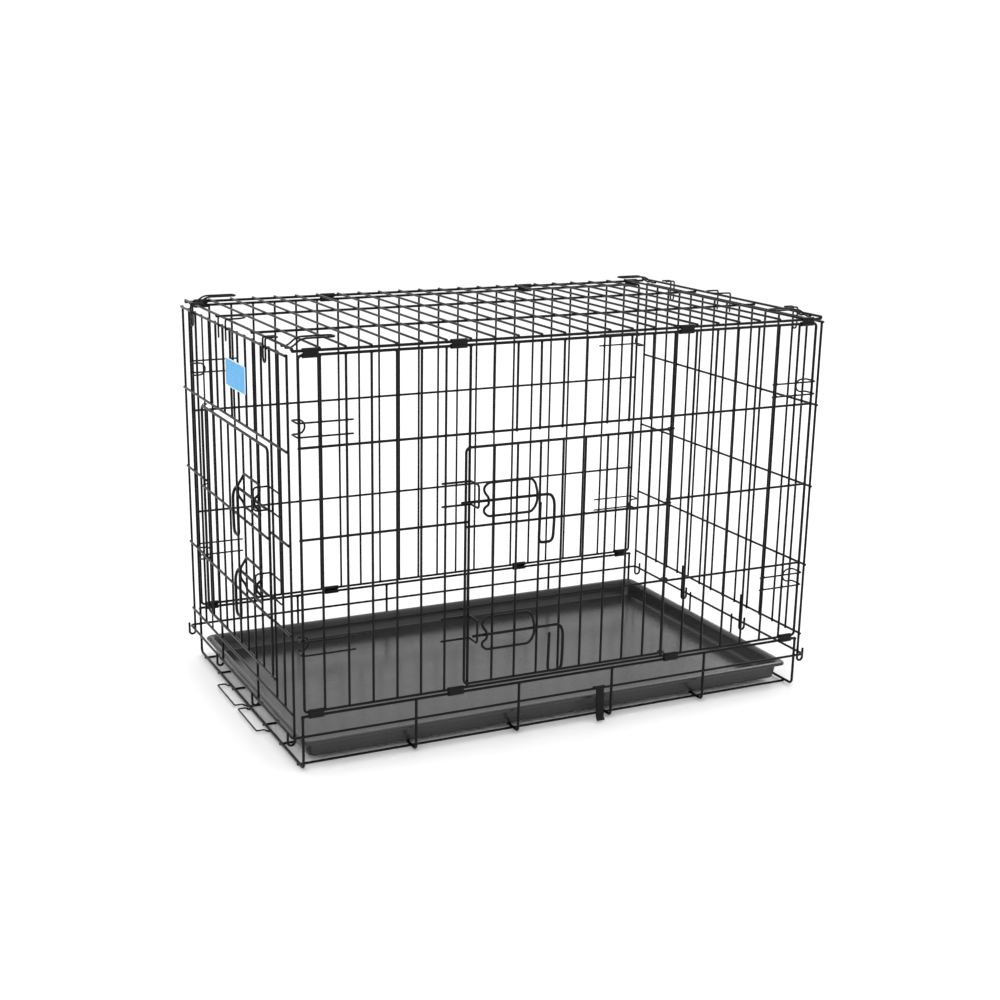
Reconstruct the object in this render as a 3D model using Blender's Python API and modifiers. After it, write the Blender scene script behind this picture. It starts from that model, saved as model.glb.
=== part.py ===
"""Folding wire dog crate, 30-inch class, with two doors, slide bolts and a plastic pan.

Lengths below are in millimetres and become metres when an object is made.
X runs along the crate, Y from front to back, Z up. The sub-parts are separate
objects: welded wire grids are unions of straight bars and bent wires.
"""

import math

import bmesh
import bpy
from mathutils import Matrix, Vector

MM = 0.001

# Shift that puts the middle of the whole crate's box over the origin.
SHIFT_X = 6.83
SHIFT_Y = 8.75

# Main sizes
HALF_DEPTH = 236.0  # front and back panel planes
FRAME_HALF = 376.4  # half length of the front and back panel frames
BASE_RAIL_Z = 75.0  # flange rail of the base
HINGE_LOW_Z = 80.5  # bottom rail of the front and back panels
HINGE_TOP_Z = 535.5  # top rail of the front and back panels
TOP_Z = 541.0  # long rails of the top panel
PITCH = 33.2  # spacing of the upright wires
END_PITCH = 33.1
RING_X, RING_Y, RING_Z = 393.5, 239.0, 49.0
END_X = 389.0  # plane of the end panels' upright wires
END_CROSS_X = 391.27  # plane of their cross wires
FLOOR_Z = 4.3  # centre of the U wires on the floor

# Wire radii
R_FRAME = 1.9
R_CROSS = 1.6
R_GRID = 1.25
R_UP = 1.6
R_END = 1.75
R_BOLT = 2.0

BLACK = (0.018, 0.018, 0.020, 1.0)


def grid_x(i):
    return -381.8 + PITCH * i


def end_y(j):
    return -231.7 + END_PITCH * j


def metres(point):
    return Vector(
        ((point[0] + SHIFT_X) * MM, (point[1] + SHIFT_Y) * MM, point[2] * MM)
    )


def clear_scene():
    for obj in list(bpy.data.objects):
        bpy.data.objects.remove(obj, do_unlink=True)


clear_scene()
CRATE = bpy.data.collections.new("dog_crate")
CUTTERS = bpy.data.collections.new("joining_shapes")
bpy.context.scene.collection.children.link(CRATE)
bpy.context.scene.collection.children.link(CUTTERS)


def material(name, colour, roughness, metallic):
    made = bpy.data.materials.new(name)
    made.use_nodes = True
    shader = made.node_tree.nodes["Principled BSDF"]
    shader.inputs["Base Color"].default_value = colour
    shader.inputs["Roughness"].default_value = roughness
    shader.inputs["Metallic"].default_value = metallic
    return made


PAINT = material("black_powder_coat", BLACK, 0.38, 0.1)
PAN = material("black_pan_plastic", (0.02, 0.02, 0.022, 1.0), 0.5, 0.0)
BLUE = material("blue_plastic", (0.02, 0.16, 0.55, 1.0), 0.35, 0.0)
CLIP_STEEL = material("black_clip_steel", BLACK, 0.32, 0.3)


def finish(obj, mat, helper=False):
    obj.data.materials.clear()
    obj.data.materials.append(mat)
    if helper:
        CUTTERS.objects.link(obj)
        obj.hide_render = True
        obj.display_type = "WIRE"
    else:
        CRATE.objects.link(obj)
    return obj


# --- shapes ---------------------------------------------------------------


def bars(name, wires, mat=PAINT, helper=False):
    """One mesh of straight square bars. Each wire is (start, end, radius), along one axis."""
    shape = bmesh.new()
    for start, end, radius in wires:
        a, b = metres(start), metres(end)
        side = 2 * radius * 0.886 * MM
        size = [max(abs(b[k] - a[k]), side) for k in range(3)]
        move = Matrix.Translation((a + b) / 2) @ Matrix.Diagonal((*size, 1.0))
        bmesh.ops.create_cube(shape, size=1.0, matrix=move)
    mesh = bpy.data.meshes.new(name)
    shape.to_mesh(mesh)
    shape.free()
    return finish(bpy.data.objects.new(name, mesh), mat, helper)


def wire_curve(name, paths, sides=4):
    """A curve object of bent round wires. Each path is (points, radius, closed)."""
    data = bpy.data.curves.new(name, "CURVE")
    data.dimensions = "3D"
    data.bevel_mode = "ROUND"
    data.bevel_depth = MM
    data.bevel_resolution = {4: 0, 6: 1, 8: 2}[sides]
    data.use_fill_caps = True
    data.resolution_u = 1
    for points, radius, closed in paths:
        line = data.splines.new("POLY")
        line.points.add(len(points) - 1)
        for spot, point in zip(line.points, points):
            spot.co = (*metres(point), 1.0)
            spot.radius = radius
        line.use_cyclic_u = closed
    return bpy.data.objects.new(name, data)


def bent(name, paths, mat=PAINT, helper=False, sides=4):
    """Bent wires as one closed mesh, with the caps welded on."""
    curve = wire_curve(name + "_line", paths, sides)
    bpy.context.scene.collection.objects.link(curve)
    bpy.context.view_layer.update()
    graph = bpy.context.evaluated_depsgraph_get()
    mesh = bpy.data.meshes.new_from_object(curve.evaluated_get(graph))
    mesh.name = name
    shape = bmesh.new()
    shape.from_mesh(mesh)
    bmesh.ops.remove_doubles(shape, verts=shape.verts, dist=1e-6)
    bmesh.ops.recalc_face_normals(shape, faces=shape.faces)
    for face in shape.faces:
        face.smooth = len(face.verts) == 4
    shape.to_mesh(mesh)
    shape.free()
    made = bpy.data.objects.new(name, mesh)
    made.matrix_world = curve.matrix_world.copy()
    bpy.data.objects.remove(curve, do_unlink=True)
    return finish(made, mat, helper)


def weld(base, *helpers):
    for helper in helpers:
        join = base.modifiers.new("weld_" + helper.name, "BOOLEAN")
        join.operation = "UNION"
        join.solver = "EXACT"
        join.object = helper
    return base


def corner_arc(cx, cy, radius, start, stop, steps):
    turn = [math.radians(start + (stop - start) * k / steps) for k in range(steps + 1)]
    return [(cx + radius * math.cos(t), cy + radius * math.sin(t)) for t in turn]


def rounded_rectangle(low_u, high_u, low_v, high_v, radius, steps=2):
    return (
        corner_arc(high_u - radius, high_v - radius, radius, 0, 90, steps)
        + corner_arc(low_u + radius, high_v - radius, radius, 90, 180, steps)
        + corner_arc(low_u + radius, low_v + radius, radius, 180, 270, steps)
        + corner_arc(high_u - radius, low_v + radius, radius, 270, 360, steps)
    )


def plate(name, outline, hole, half_width, mat):
    """A flat outline, with or without a hole, given a thickness; it lies in XY and is turned by its matrix."""
    data = bpy.data.curves.new(name + "_outline", "CURVE")
    data.dimensions = "2D"
    data.fill_mode = "BOTH"
    data.extrude = half_width * MM
    data.resolution_u = 1
    for points in (outline, hole):
        if not points:
            continue
        line = data.splines.new("POLY")
        line.points.add(len(points) - 1)
        for spot, point in zip(line.points, points):
            spot.co = (point[0] * MM, point[1] * MM, 0.0, 1.0)
        line.use_cyclic_u = True
    curve = bpy.data.objects.new(name + "_outline", data)
    bpy.context.scene.collection.objects.link(curve)
    bpy.context.view_layer.update()
    graph = bpy.context.evaluated_depsgraph_get()
    mesh = bpy.data.meshes.new_from_object(curve.evaluated_get(graph))
    shape = bmesh.new()
    shape.from_mesh(mesh)
    bmesh.ops.remove_doubles(shape, verts=shape.verts, dist=1e-6)
    bmesh.ops.recalc_face_normals(shape, faces=shape.faces)
    shape.to_mesh(mesh)
    shape.free()
    bpy.data.objects.remove(curve, do_unlink=True)
    return finish(bpy.data.objects.new(name, mesh), mat)


def axis_empty(name, point):
    empty = bpy.data.objects.new(name, None)
    empty.location = metres(point)
    empty.empty_display_size = 0.03
    CRATE.objects.link(empty)
    return empty


def hang(empty, *objects):
    """Parents pieces to the empty on their joint's axis, where they stand."""
    for obj in objects:
        obj.parent = empty
        obj.matrix_parent_inverse = Matrix.Translation(empty.location).inverted()


# --- base frame -------------------------------------------------------------


def u_wire(x):
    side = HALF_DEPTH
    low = FLOOR_Z
    return [
        (x, -side, BASE_RAIL_Z),
        (x, -side, low + 5.0),
        (x, -side + 1.5, low + 1.5),
        (x, -side + 5.0, low),
        (x, side - 5.0, low),
        (x, side - 1.5, low + 1.5),
        (x, side, low + 5.0),
        (x, side, BASE_RAIL_Z),
    ]


def base_frame():
    rails = [
        ((-380.7, y, BASE_RAIL_Z), (380.7, y, BASE_RAIL_Z), R_FRAME)
        for y in (-HALF_DEPTH, HALF_DEPTH)
    ]
    low = R_CROSS * 0.886
    floor = [
        ((-381.0, y, low), (381.0, y, low), R_CROSS)
        for y in (-215.0, -143.5, -72.0, 0.0, 72.0, 143.5, 215.0)
    ]
    uprights = [
        (u_wire(x), R_FRAME, False) for x in (-379.0, -222.5, -72.0, 72.0, 222.5, 379.0)
    ]
    ring = [
        (x, y, RING_Z)
        for x, y in rounded_rectangle(-RING_X, RING_X, -RING_Y, RING_Y, 5.0)
    ]
    stops = [
        ([(374.0, y, 1.65), (390.7, y, 1.65), (390.7, y, 56.0)], R_CROSS, False)
        for y in (-59.0, 59.0)
    ]
    return weld(
        bars("base_frame", rails + floor),
        bent("base_u_wires", uprights, helper=True, sides=6),
        bent("base_ring", [(ring, R_END, True)], helper=True),
        bent("base_pan_stops", stops, helper=True, sides=6),
    )


# --- pan ----------------------------------------------------------------------


def tray():
    """The pan: an open sheet with sloped sides and a rolled lip, then given its thickness."""
    shape = bmesh.new()
    loops = (
        (361.0, 211.0, 7.0, 8.6),
        (363.2, 213.2, 8.0, 9.8),
        (367.3, 217.3, 9.0, 31.8),
        (368.8, 218.8, 9.5, 33.2),
        (374.0, 224.0, 10.5, 33.2),
        (375.5, 225.5, 11.0, 30.2),
    )
    rows = []
    for half_x, half_y, radius, z in loops:
        outline = rounded_rectangle(-half_x, half_x, -half_y, half_y, radius, 3)
        rows.append([shape.verts.new(metres((x, y, z))) for x, y in outline])
    shape.faces.new(rows[0])
    for low_row, high_row in zip(rows, rows[1:]):
        count = len(low_row)
        for k in range(count):
            n = (k + 1) % count
            shape.faces.new((low_row[k], low_row[n], high_row[n], high_row[k]))
    bmesh.ops.recalc_face_normals(shape, faces=shape.faces)
    mesh = bpy.data.meshes.new("tray")
    shape.to_mesh(mesh)
    shape.free()
    obj = finish(bpy.data.objects.new("tray", mesh), PAN)
    skin = obj.modifiers.new("thickness", "SOLIDIFY")
    skin.thickness = 0.002
    skin.offset = 0.0
    return obj


# --- panels -------------------------------------------------------------------


def flat_frame(name, low_x, high_x, low_z, high_z, y, radius=R_FRAME):
    outline = rounded_rectangle(low_x, high_x, low_z, high_z, 5.0)
    return bent(name, [([(x, y, z) for x, z in outline], radius, True)], helper=True)


CROSS_GAP = (R_GRID + R_CROSS) * 0.886 - 0.25  # between upright and cross wire centres


def front_panel():
    y = -HALF_DEPTH
    inner = y + CROSS_GAP
    uprights = []
    for i in range(1, 23):
        radius = R_FRAME if i in (7, 16) else R_UP
        low = 421.2 if 8 <= i <= 15 else HINGE_LOW_Z
        uprights.append(((grid_x(i), y, low), (grid_x(i), y, HINGE_TOP_Z), radius))
    cross = [((-378.0, inner, 422.3), (378.0, inner, 422.3), R_CROSS)]
    for z in (306.5, 190.0):
        cross.append(((-378.0, inner, z), (-147.6, inner, z), R_CROSS))
        cross.append(((147.6, inner, z), (378.0, inner, z), R_CROSS))
    return weld(
        bars("front_panel", uprights),
        bars("front_cross", cross, helper=True),
        flat_frame("front_frame", -FRAME_HALF, FRAME_HALF, HINGE_LOW_Z, HINGE_TOP_Z, y),
    )


def back_panel():
    y = HALF_DEPTH
    outer = y + CROSS_GAP
    uprights = [
        ((grid_x(i), y, HINGE_LOW_Z), (grid_x(i), y, HINGE_TOP_Z), R_UP)
        for i in range(1, 23)
    ]
    cross = [((-378.0, outer, z), (378.0, outer, z), R_CROSS) for z in (226.5, 381.0)]
    return weld(
        bars("back_panel", uprights),
        bars("back_cross", cross, helper=True),
        flat_frame("back_frame", -FRAME_HALF, FRAME_HALF, HINGE_LOW_Z, HINGE_TOP_Z, y),
    )


def raised_pair(side_x, side_y):
    """A hairpin of the top panel that springs up behind the end wire."""
    near, far = 197.0 * side_y, 213.0 * side_y
    out = [(384.3, 541.6), (376.0, 541.6), (364.0, 552.0), (322.0, 552.0)]
    line = [(side_x * x, near, z) for x, z in out]
    line += [
        (side_x * 319.0, near + 3.0 * side_y, 552.0),
        (side_x * 319.0, far - 3.0 * side_y, 552.0),
    ]
    line += [(side_x * x, far, z) for x, z in reversed(out)]
    return (line, R_GRID, False)


def top_panel():
    rails = [
        ((-384.6, y, TOP_Z), (384.6, y, TOP_Z), R_FRAME)
        for y in (-HALF_DEPTH, HALF_DEPTH)
    ]
    rails += [
        ((-384.6, y, TOP_Z + 0.2), (384.6, y, TOP_Z + 0.2), R_CROSS)
        for y in (-78.7, 78.7)
    ]
    across = [
        ((grid_x(i), -237.2, TOP_Z + 2.55), (grid_x(i), 237.2, TOP_Z + 2.55), R_UP)
        for i in range(1, 23)
    ]
    across += [
        ((x, -237.6, TOP_Z + 3.0), (x, 237.6, TOP_Z + 3.0), R_END)
        for x in (-383.35, 383.35)
    ]
    pairs = [raised_pair(sx, sy) for sx in (-1, 1) for sy in (-1, 1)]
    return weld(
        bars("top_panel", across),
        bars("top_rails", rails, helper=True),
        bent("top_raised_pairs", pairs, helper=True),
    )


def hanging_hook(side_x, y, top_z):
    """An upright wire whose foot turns up round the ring of the base."""
    cx, cz = RING_X, 41.5
    foot = [
        (cx + 4.5 * math.cos(math.radians(a)), cz + 4.5 * math.sin(math.radians(a)))
        for a in (180, 225, 270, 315, 360)
    ]
    line = (
        [(side_x * END_X, y, top_z)]
        + [(side_x * x, y, z) for x, z in foot]
        + [(side_x * (cx + 4.5), y, 56.0)]
    )
    return (line, R_END, False)


def end_panel(name, side_x, doorway):
    x = side_x * END_X
    cross_x = side_x * END_CROSS_X
    uprights = []
    for j in range(1, 14):
        low = 417.4 if doorway and 3 <= j <= 10 else 77.6
        radius = R_GRID if doorway and j == 11 else R_UP
        uprights.append(((x, end_y(j), low), (x, end_y(j), 536.7), radius))
    cross = [
        ((cross_x, -233.3, z), (cross_x, 233.3, z), R_CROSS)
        for z in (535.5, 418.6, 78.8)
    ]
    for z in (300.8, 184.1):
        if doorway:
            cross.append(((cross_x, -233.3, z), (cross_x, end_y(2) + 1.6, z), R_CROSS))
            cross.append(((cross_x, end_y(11) - 1.6, z), (cross_x, 233.3, z), R_CROSS))
        else:
            cross.append(((cross_x, -233.3, z), (cross_x, 233.3, z), R_CROSS))
    if doorway:
        cross.append(
            (
                (cross_x, end_y(2) - 1.6, 103.0),
                (cross_x, end_y(11) + 1.6, 103.0),
                R_CROSS,
            )
        )
    stem_top = 106.0 if doorway else 95.0
    hooks = [hanging_hook(side_x, y, 536.7) for y in (end_y(0), end_y(14))]
    hooks += [hanging_hook(side_x, y, stem_top) for y in (-83.0, 83.0)]
    return weld(
        bars(name, uprights),
        bars(name + "_cross", cross, helper=True),
        bent(name + "_feet", hooks, helper=True),
    )


# --- doors ----------------------------------------------------------------------
# A door is drawn with u along it, w outwards from its plane and z up, then placed
# on the front (u is X, w is -Y) or on the left end (u is Y + 13.7, w is -X).


def on_front(u, w, z):
    return (u, -240.3 - w, z)


def on_left(u, w, z):
    return (-395.45 - w, u - 13.7, z)


def door_grid(name, place, low_u, high_u, low_z, high_z, uprights, mids):
    outline = rounded_rectangle(low_u, high_u, low_z, high_z, 6.0)
    frame = [place(u, 0.0, z) for u, z in outline]
    grid = [
        (place(u, 0.0, low_z), place(u, 0.0, high_z), R_UP)
        for u in uprights
    ]
    cross = [
        (place(low_u - 1.7, CROSS_GAP, z), place(high_u + 1.7, CROSS_GAP, z), R_CROSS)
        for z in mids
    ]
    return (
        bars(name, grid),
        bars(name + "_cross", cross, helper=True),
        bent(name + "_frame", [(frame, R_FRAME, True)], helper=True),
    )


def front_door():
    levels = (87.0, 194.0, 302.5, 406.0)
    grid, cross, frame = door_grid(
        "front_door",
        on_front,
        -156.3,
        146.2,
        levels[0],
        levels[3],
        [grid_x(i) for i in range(8, 16)],
        levels[1:3],
    )
    eyes = []
    for z in levels:
        inward = 6.0 if z == levels[0] else -6.0 if z == levels[3] else 0.0
        ring = [
            (149.4 + 4.0 * math.cos(math.radians(a)), -236.0 + 4.0 * math.sin(math.radians(a)), z)
            for a in range(-90, 171, 37)
        ]
        lead = [(146.2, -240.3, z + inward)] if inward else [(145.2, -240.3, z)]
        if inward:
            lead.append((147.2, -240.3, z + inward * 0.35))
        eyes.append((lead + ring, R_GRID, False))
    return weld(grid, cross, frame, bent("front_door_eyes", eyes, helper=True, sides=6))


def left_door():
    levels = (109.0, 189.5, 295.0, 411.0)
    grid, cross, frame = door_grid(
        "left_door",
        on_left,
        -156.3,
        139.7,
        levels[0],
        levels[3],
        [end_y(j) + 13.7 for j in range(3, 11)],
        levels[1:3],
    )
    eyes = []
    for z in levels:
        inward = 6.0 if z == levels[0] else -6.0 if z == levels[3] else 0.0
        ring = [
            (
                -END_X - 2.75 * math.cos(math.radians(a)),
                end_y(11) + 2.75 * math.sin(math.radians(a)),
                z,
            )
            for a in range(0, 261, 37)
        ]
        lead = [(-395.45, 126.0, z + inward)]
        lead.append((-394.2, 129.3, z + inward * 0.3))
        eyes.append((lead + ring, 0.9, False))
    return weld(grid, cross, frame, bent("left_door_eyes", eyes, helper=True, sides=6))


# --- slide bolts ---------------------------------------------------------------


def bolt(name, place, slid, drop):
    line = [
        (-166.0, 6.2, 336.0),
        (-40.0, 6.2, 336.0),
        (-36.0, 6.8, 334.0),
        (-33.5, 8.5, 329.0),
        (-33.0, 9.7, 322.0),
        (-33.0, 9.7, 298.0),
        (-34.0, 9.7, 278.0),
        (-36.6, 9.7, 273.8),
        (-39.5, 9.7, 272.5),
        (-50.5, 9.7, 272.5),
        (-53.6, 9.7, 274.0),
        (-54.8, 9.7, 278.0),
        (-53.6, 9.7, 328.0),
    ]
    points = [place(u + slid, w, z - drop) for u, w, z in line]
    return bent(name, [(points, R_BOLT, False)], sides=6)


def keeper(name, place, drop):
    """A closed wire loop with straight sides; both its ends stand out over the bolt."""
    loop = [
        (-126.0, 3.2, 358.5),
        (-64.0, 3.2, 358.5),
        (-59.0, 3.8, 353.0),
        (-59.0, 10.4, 342.5),
        (-59.0, 10.4, 329.5),
        (-59.0, 3.8, 319.5),
        (-64.0, 3.2, 314.0),
        (-126.0, 3.2, 314.0),
        (-132.5, 3.8, 320.0),
        (-132.5, 5.0, 326.0),
        (-128.5, 10.4, 331.5),
        (-128.5, 10.4, 340.5),
        (-132.5, 5.0, 347.0),
        (-132.5, 3.8, 353.0),
    ]
    points = [place(u, w, z - drop) for u, w, z in loop]
    return bent(name, [(points, R_CROSS, True)])


def catch(name, place, strand_w, drop, radius):
    """A staple on the panel, which the tip of the bolt goes through."""
    link_w = 17.95 - radius
    half = [
        (-187.0, strand_w),
        (-146.5, strand_w),
        (-145.5, strand_w + 1.05),
        (-145.5, 14.0),
    ]
    line = [(u, w, 360.0) for u, w in half]
    line += [(-145.5, link_w, 357.3), (-145.5, link_w, 332.2)]
    line += [(u, w, 329.5) for u, w in reversed(half)]
    points = [place(u, w, z - drop) for u, w, z in line]
    return bent(name, [(points, radius, False)])


# --- small pieces ---------------------------------------------------------------


def hinge_clip(name, x, y, z, half_width):
    """A steel strip folded round the two rails of a hinge line."""

    def box(half_y, half_z, cut):
        return [
            (half_y, half_z - cut),
            (half_y - cut, half_z),
            (cut - half_y, half_z),
            (-half_y, half_z - cut),
            (-half_y, cut - half_z),
            (cut - half_y, -half_z),
            (half_y - cut, -half_z),
            (half_y, cut - half_z),
        ]

    obj = plate(name, box(3.5, 6.2, 1.3), box(2.6, 5.3, 0.8), half_width, CLIP_STEEL)
    turn = Matrix(((0, 0, 1, 0), (1, 0, 0, 0), (0, 1, 0, 0), (0, 0, 0, 1)))
    obj.matrix_world = Matrix.Translation(metres((x, y, z))) @ turn
    return obj


def corner_hook(name, side_x, side_y, high, low):
    """A hairpin that lies across the panel's face and wraps round its corner."""
    line = [
        (307.0, 239.5),
        (377.6, 239.5),
        (379.9, 237.3),
        (379.9, 221.0),
        (377.5, 218.0),
    ]
    mid, half = (high + low) / 2, (high - low) / 2
    tip = corner_arc(363.0 + half, mid, half, 90, 270, 6)
    points = [(side_x * x, side_y * y, high) for x, y in line]
    points += [(side_x * x, side_y * 218.0, z) for x, z in tip]
    points += [(side_x * x, side_y * y, low) for x, y in reversed(line)]
    return bent(name, [(points, R_GRID, False)])


def end_hook(name, side_x, y):
    """A hairpin of the end panel that turns in over the top panel's end wire."""
    half = [(377.5, 548.2), (391.4, 548.2), (394.3, 545.3), (394.3, 522.0)]
    points = [(side_x * x, y - 5.0, z) for x, z in half]
    points.append((side_x * 394.3, y, 517.0))
    points += [(side_x * x, y + 5.0, z) for x, z in reversed(half)]
    return bent(name, [(points, R_GRID, False)])


def end_tongue(name, side_x):
    """A wide hairpin that lies on the top panel when the crate is shut."""
    half = [(394.3, 519.0), (394.3, 545.3), (391.4, 548.2)]
    tip = corner_arc(379.5, END_PITCH / 2, END_PITCH / 2, -90, -270, 6)
    points = [(side_x * x, 0.0, z) for x, z in half]
    points += [(side_x * x, y, 548.2) for x, y in tip]
    points += [(side_x * x, END_PITCH, z) for x, z in reversed(half)]
    return bent(name, [(points, R_GRID, False)])


def tray_bail(name, low_y, high_y):
    """A small U wire that lies flat outside the floor's end wire and turns up behind the pan."""
    curl = [(-376.0, 1.7), (-377.0, 1.2), (-381.0, 1.2), (-383.3, 2.5), (-386.0, 4.3)]
    points = [(x, low_y, z) for x, z in curl]
    points += [(-395.0, low_y, 4.3), (-397.0, low_y + 2.0, 4.3)]
    points += [(-397.0, high_y - 2.0, 4.3), (-395.0, high_y, 4.3)]
    points += [(x, high_y, z) for x, z in reversed(curl)]
    return bent(name, [(points, 1.1, False)], sides=6)


def carry_clip():
    """A sprung steel hook on the ring at the front, 17 wide, that closes the folded crate."""
    line = [
        (2.95 * math.cos(math.radians(a)), 2.95 * math.sin(math.radians(a)))
        for a in range(210, -1, -35)
    ]
    line += [(3.2, -8.0), (4.4, -20.0), (4.4, -38.0), (5.6, -42.0), (8.6, -45.0)]
    half = 0.7
    left, right = [], []
    for k, point in enumerate(line):
        before = line[max(k - 1, 0)]
        after = line[min(k + 1, len(line) - 1)]
        run = Vector((after[0] - before[0], after[1] - before[1])).normalized()
        left.append((point[0] - run.y * half, point[1] + run.x * half))
        right.append((point[0] + run.y * half, point[1] - run.x * half))
    obj = plate("carry_clip", left + right[::-1], None, 8.5, CLIP_STEEL)
    turn = Matrix(((0, 0, 1, 0), (-1, 0, 0, 0), (0, 1, 0, 0), (0, 0, 0, 1)))
    obj.matrix_world = Matrix.Translation(metres((50.5, -RING_Y, RING_Z))) @ turn
    return obj


def tag():
    outline = rounded_rectangle(-43.0, 43.0, -19.0, 19.0, 3.0)
    obj = plate("tag", outline, None, 0.6, BLUE)
    turn = Matrix(((0, 0, -1, 0), (-1, 0, 0, 0), (0, 1, 0, 0), (0, 0, 0, 1)))
    obj.matrix_world = Matrix.Translation(metres((-391.3, -28.0, 478.0))) @ turn
    return obj


# --- the crate --------------------------------------------------------------------

base_frame()
pan_slide = axis_empty("pan_slide", (0.0, 0.0, 20.0))
hang(pan_slide, tray())

front_axis = axis_empty("front_panel_axis", (0.0, -HALF_DEPTH, HINGE_LOW_Z))
back_axis = axis_empty("back_panel_axis", (0.0, HALF_DEPTH, HINGE_LOW_Z))
top_axis = axis_empty("top_panel_axis", (0.0, -HALF_DEPTH, HINGE_TOP_Z))
left_axis = axis_empty("left_end_axis", (-RING_X, 0.0, RING_Z))
right_axis = axis_empty("right_end_axis", (RING_X, 0.0, RING_Z))
hang(front_axis, front_panel())
hang(back_axis, back_panel())
hang(top_axis, top_panel())
hang(left_axis, end_panel("left_end_panel", -1, True))
hang(right_axis, end_panel("right_end_panel", 1, False))

front_door_axis = axis_empty("front_door_axis", (149.4, -236.0, 246.5))
left_door_axis = axis_empty("left_door_axis", (-END_X, end_y(11), 260.0))
hang(front_door_axis, front_door())
hang(left_door_axis, left_door())

LATCHES = (
    ("front_upper", on_front, front_door_axis, front_axis, 0.0, 0.0, -7.8, 1.5),
    ("front_lower", on_front, front_door_axis, front_axis, 18.0, 181.5, -7.8, 1.5),
    ("left_upper", on_left, left_door_axis, left_axis, 0.0, 0.0, -3.65, R_GRID),
    ("left_lower", on_left, left_door_axis, left_axis, 0.0, 113.5, -3.65, R_GRID),
)
for label, place, door_axis, panel_axis, slid, drop, strand_w, thick in LATCHES:
    slide = axis_empty(label + "_bolt_slide", place(-100.0 + slid, 6.2, 336.0 - drop))
    hang(slide, bolt(label + "_bolt", place, slid, drop))
    hang(door_axis, keeper(label + "_keeper", place, drop))
    hang(panel_axis, catch(label + "_catch", place, strand_w, drop, thick))

for end_name, end_x in (("left", -1), ("right", 1)):
    for side_name, side_y in (("front", -1), ("back", 1)):
        y = side_y * HALF_DEPTH
        for place_name, clip_x, half in (("outer", 360.8, 10.0), ("inner", 166.0, 11.0)):
            stem = side_name + "_" + end_name + "_" + place_name
            low_z = (BASE_RAIL_Z + HINGE_LOW_Z) / 2
            high_z = (TOP_Z + HINGE_TOP_Z) / 2
            hinge_clip("base_clip_" + stem, end_x * clip_x, y, low_z, half)
            hang(
                top_axis,
                hinge_clip("top_clip_" + stem, end_x * clip_x, y, high_z, half),
            )
        for level, high, low in (("upper", 454.5, 437.0), ("lower", 176.0, 158.0)):
            hook = corner_hook(
                "corner_hook_" + side_name + "_" + end_name + "_" + level,
                end_x,
                side_y,
                high,
                low,
            )
            hang(front_axis if side_y < 0 else back_axis, hook)
        hang(
            left_axis if end_x < 0 else right_axis,
            end_hook("end_hook_" + end_name + "_" + side_name, end_x, side_y * 163.0),
        )
    hang(
        left_axis if end_x < 0 else right_axis,
        end_tongue("end_tongue_" + end_name, end_x),
    )

bail_axis = axis_empty("bail_axis", (-379.0, 0.0, FLOOR_Z))
hang(
    bail_axis,
    tray_bail("tray_bail_front", -95.0, -10.0),
    tray_bail("tray_bail_back", 5.0, 90.0),
)
ring_axis = axis_empty("carry_clip_axis", (50.5, -RING_Y, RING_Z))
hang(ring_axis, carry_clip())
hang(left_axis, tag())
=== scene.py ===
"""Looks for the folding wire dog crate: round powder-coated wires with welds, folded steel clips,
a moulded pan and a plain tag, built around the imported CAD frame."""

import math
import random

import bmesh
import bpy
from mathutils import Matrix, Vector


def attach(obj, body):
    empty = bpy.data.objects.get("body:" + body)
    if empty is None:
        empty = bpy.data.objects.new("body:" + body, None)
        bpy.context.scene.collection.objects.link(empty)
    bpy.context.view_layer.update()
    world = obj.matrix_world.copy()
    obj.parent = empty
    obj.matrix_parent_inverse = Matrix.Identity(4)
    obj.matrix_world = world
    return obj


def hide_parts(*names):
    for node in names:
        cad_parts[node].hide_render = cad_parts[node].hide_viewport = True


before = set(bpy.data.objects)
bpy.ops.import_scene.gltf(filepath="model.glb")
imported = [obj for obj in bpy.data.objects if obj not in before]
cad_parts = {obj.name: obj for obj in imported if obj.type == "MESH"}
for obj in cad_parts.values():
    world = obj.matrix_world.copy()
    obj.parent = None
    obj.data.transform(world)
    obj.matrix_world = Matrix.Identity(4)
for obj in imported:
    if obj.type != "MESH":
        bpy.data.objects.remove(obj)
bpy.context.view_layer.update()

MM = 0.001
SHIFT_X = 6.83
SHIFT_Y = 8.75
HALF_DEPTH = 236.0
FRAME_HALF = 376.4
BASE_RAIL_Z = 75.0
HINGE_LOW_Z = 80.5
HINGE_TOP_Z = 535.5
TOP_Z = 541.0
PITCH = 33.2
END_PITCH = 33.1
RING_X, RING_Y, RING_Z = 393.5, 239.0, 49.0
END_X = 389.0
END_CROSS_X = 391.27
FLOOR_Z = 4.3
R_FRAME = 1.9
R_CROSS = 1.75
R_GRID = 1.25
R_UP = 1.65
R_END = 1.75
R_BOLT = 2.0
CROSS_GAP = 2.275
rng = random.Random(7)


def grid_x(i):
    return -381.8 + PITCH * i


def end_y(j):
    return -231.7 + END_PITCH * j


def metres(point):
    return Vector(
        ((point[0] + SHIFT_X) * MM, (point[1] + SHIFT_Y) * MM, point[2] * MM)
    )


# --- camera ------------------------------------------------------------------

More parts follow.
